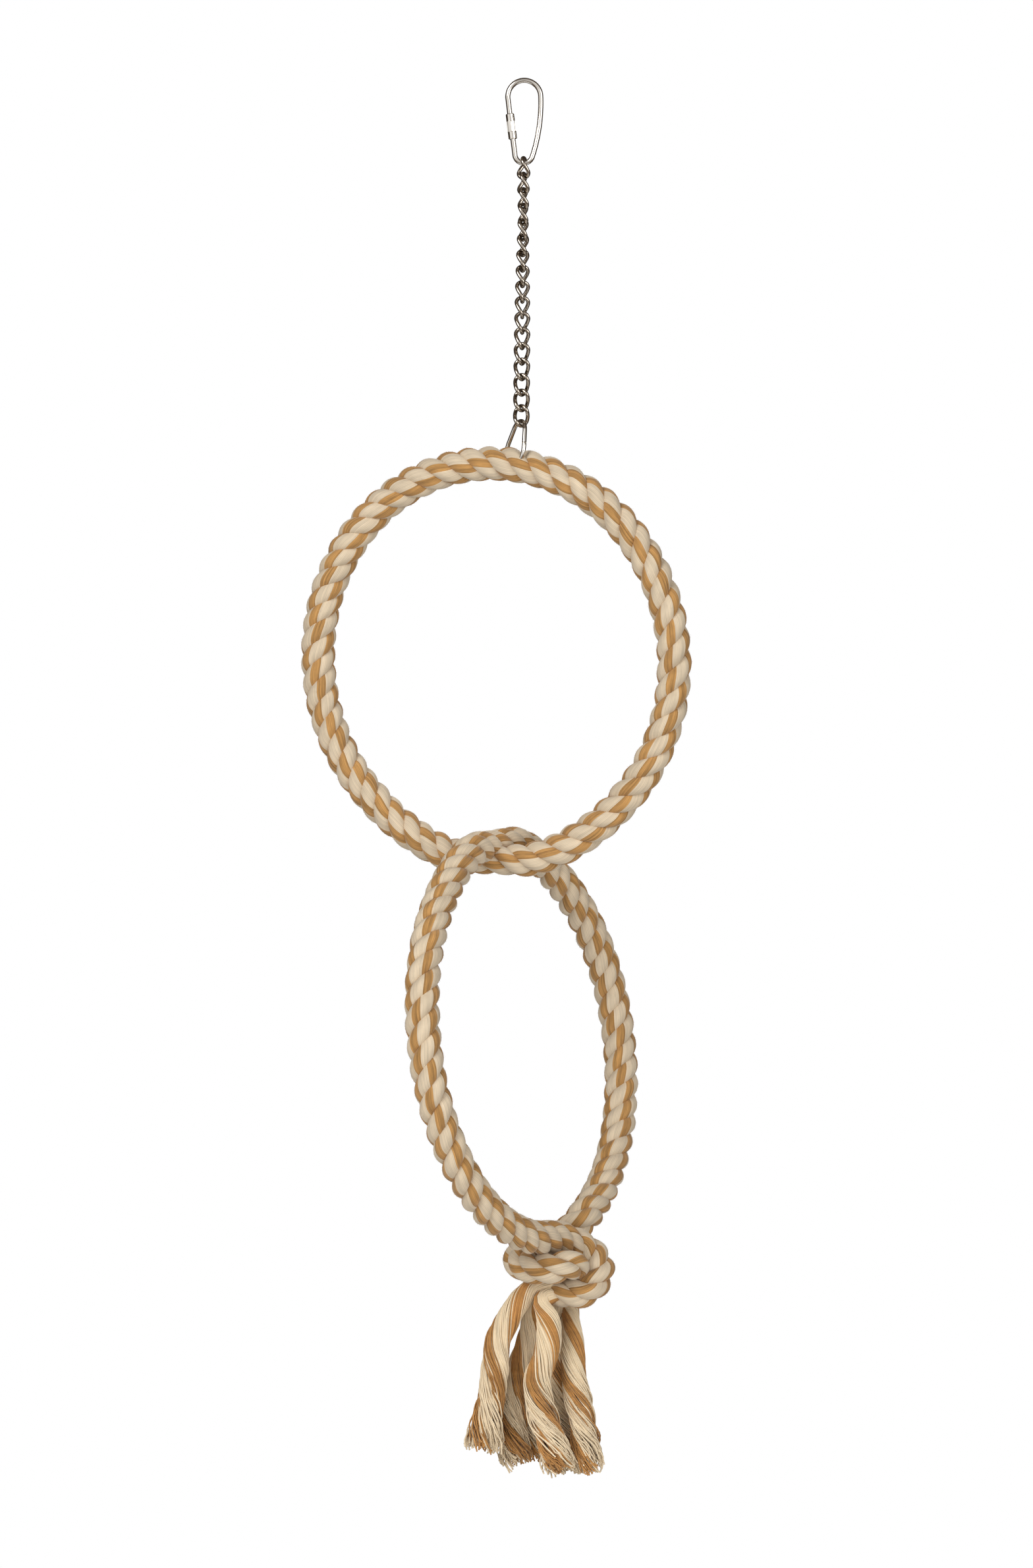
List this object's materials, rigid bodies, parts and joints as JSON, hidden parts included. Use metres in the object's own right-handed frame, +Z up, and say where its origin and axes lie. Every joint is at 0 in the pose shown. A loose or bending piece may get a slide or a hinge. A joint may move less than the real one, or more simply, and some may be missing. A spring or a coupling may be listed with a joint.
{
  "type": "bird swing",
  "caption": "Hanging bird swing: screw quick link, twisted chain and wire hanger carrying two linked cotton rope rings, the lower one closed by a knot with a frayed tassel.",
  "frame": {"origin": "inside top of the quick link, where the hook that carries the swing bears", "axes": "+Z up along the chain, +X to the viewer's right with the quick link face on, +Y away from the viewer"},
  "size_m": [0.2011, 0.1821, 0.7203],
  "materials": {
    "nickel_plate": "bright nickel plate on steel wire",
    "core_steel": "plain drawn steel wire",
    "cotton_rope": "undyed cotton rope, cream with tan yarns"
  },
  "bodies": {
    "quick_link": {"quick_link_body": "nickel_plate"},
    "nut": {"quick_link_nut": "nickel_plate"},
    "link_01": {"chain_link_01": "nickel_plate"},
    "link_02": {"chain_link_02": "nickel_plate"},
    "link_03": {"chain_link_03": "nickel_plate"},
    "link_04": {"chain_link_04": "nickel_plate"},
    "link_05": {"chain_link_05": "nickel_plate"},
    "link_06": {"chain_link_06": "nickel_plate"},
    "link_07": {"chain_link_07": "nickel_plate"},
    "link_08": {"chain_link_08": "nickel_plate"},
    "link_09": {"chain_link_09": "nickel_plate"},
    "link_10": {"chain_link_10": "nickel_plate"},
    "link_11": {"chain_link_11": "nickel_plate"},
    "link_12": {"chain_link_12": "nickel_plate"},
    "link_13": {"chain_link_13": "nickel_plate"},
    "link_14": {"chain_link_14": "nickel_plate"},
    "link_15": {"chain_link_15": "nickel_plate"},
    "link_16": {"chain_link_16": "nickel_plate"},
    "link_17": {"chain_link_17": "nickel_plate"},
    "upper_ring": {"hanger_wire": "nickel_plate", "upper_ring_rope": "cotton_rope", "upper_ring_core": "core_steel"},
    "lower_ring": {"lower_ring_rope": "cotton_rope", "lower_ring_core": "core_steel", "knot_front_end": "cotton_rope", "knot_rear_end": "cotton_rope", "tail_strand_1": "cotton_rope", "tail_strand_2": "cotton_rope", "tail_strand_3": "cotton_rope", "tail_strand_4": "cotton_rope", "tail_strand_5": "cotton_rope", "tail_strand_6": "cotton_rope"}
  },
  "joints": [
    {"name": "nut_slide", "type": "slide", "parent": "quick_link", "child": "nut", "axis": [-0.1318, 0, 0.9913], "range_m": [0, 0.007]},
    {"name": "link_01_swing", "type": "hinge", "parent": "quick_link", "child": "link_01", "pos_m": [0, 0, -0.04135], "axis": [1, 0, 0], "range_deg": [-60, 60]},
    {"name": "link_02_swing", "type": "hinge", "parent": "link_01", "child": "link_02", "pos_m": [0, 0, -0.0467], "axis": [0.4462, 0.8949, 0], "range_deg": [-60, 60]},
    {"name": "link_03_swing", "type": "hinge", "parent": "link_02", "child": "link_03", "pos_m": [0, 0, -0.057], "axis": [0.8339, -0.5519, 0], "range_deg": [-60, 60]},
    {"name": "link_04_swing", "type": "hinge", "parent": "link_03", "child": "link_04", "pos_m": [0, 0, -0.0627], "axis": [-0.6494, -0.7604, 0], "range_deg": [-60, 60]},
    {"name": "link_05_swing", "type": "hinge", "parent": "link_04", "child": "link_05", "pos_m": [0, 0, -0.073], "axis": [-0.6756, 0.7373, 0], "range_deg": [-60, 60]},
    {"name": "link_06_swing", "type": "hinge", "parent": "link_05", "child": "link_06", "pos_m": [0, 0, -0.0787], "axis": [0.8141, 0.5807, 0], "range_deg": [-60, 60]},
    {"name": "link_07_swing", "type": "hinge", "parent": "link_06", "child": "link_07", "pos_m": [0, 0, -0.089], "axis": [0.4772, -0.8788, 0], "range_deg": [-60, 60]},
    {"name": "link_08_swing", "type": "hinge", "parent": "link_07", "child": "link_08", "pos_m": [0, 0, -0.0947], "axis": [-0.9304, -0.3665, 0], "range_deg": [-60, 60]},
    {"name": "link_09_swing", "type": "hinge", "parent": "link_08", "child": "link_09", "pos_m": [0, 0, -0.105], "axis": [-0.2504, 0.9681, 0], "range_deg": [-60, 60]},
    {"name": "link_10_swing", "type": "hinge", "parent": "link_09", "child": "link_10", "pos_m": [0, 0, -0.1107], "axis": [0.9914, 0.1305, 0], "range_deg": [-60, 60]},
    {"name": "link_11_swing", "type": "hinge", "parent": "link_10", "child": "link_11", "pos_m": [0, 0, -0.121], "axis": [0.0087, -1, 0], "range_deg": [-60, 60]},
    {"name": "link_12_swing", "type": "hinge", "parent": "link_11", "child": "link_12", "pos_m": [0, 0, -0.1267], "axis": [-0.9936, 0.1132, 0], "range_deg": [-60, 60]},
    {"name": "link_13_swing", "type": "hinge", "parent": "link_12", "child": "link_13", "pos_m": [0, 0, -0.137], "axis": [0.2334, 0.9724, 0], "range_deg": [-60, 60]},
    {"name": "link_14_swing", "type": "hinge", "parent": "link_13", "child": "link_14", "pos_m": [0, 0, -0.1427], "axis": [0.9367, -0.3502, 0], "range_deg": [-60, 60]},
    {"name": "link_15_swing", "type": "hinge", "parent": "link_14", "child": "link_15", "pos_m": [0, 0, -0.153], "axis": [-0.4617, -0.887, 0], "range_deg": [-60, 60]},
    {"name": "link_16_swing", "type": "hinge", "parent": "link_15", "child": "link_16", "pos_m": [0, 0, -0.1587], "axis": [-0.8241, 0.5664, 0], "range_deg": [-60, 60]},
    {"name": "link_17_swing", "type": "hinge", "parent": "link_16", "child": "link_17", "pos_m": [0, 0, -0.169], "axis": [0.6626, 0.749, 0], "range_deg": [-60, 60]},
    {"name": "upper_ring_swing", "type": "hinge", "parent": "link_17", "child": "upper_ring", "pos_m": [0, 0, -0.17455], "axis": [-0.4226, 0.9022, 0.086], "range_deg": [-60, 60]},
    {"name": "lower_ring_swing", "type": "hinge", "parent": "upper_ring", "child": "lower_ring", "pos_m": [-0.01238, 0.00411, -0.40294], "axis": [0.9613, -0.2756, 0], "range_deg": [-60, 60]}
  ]
}
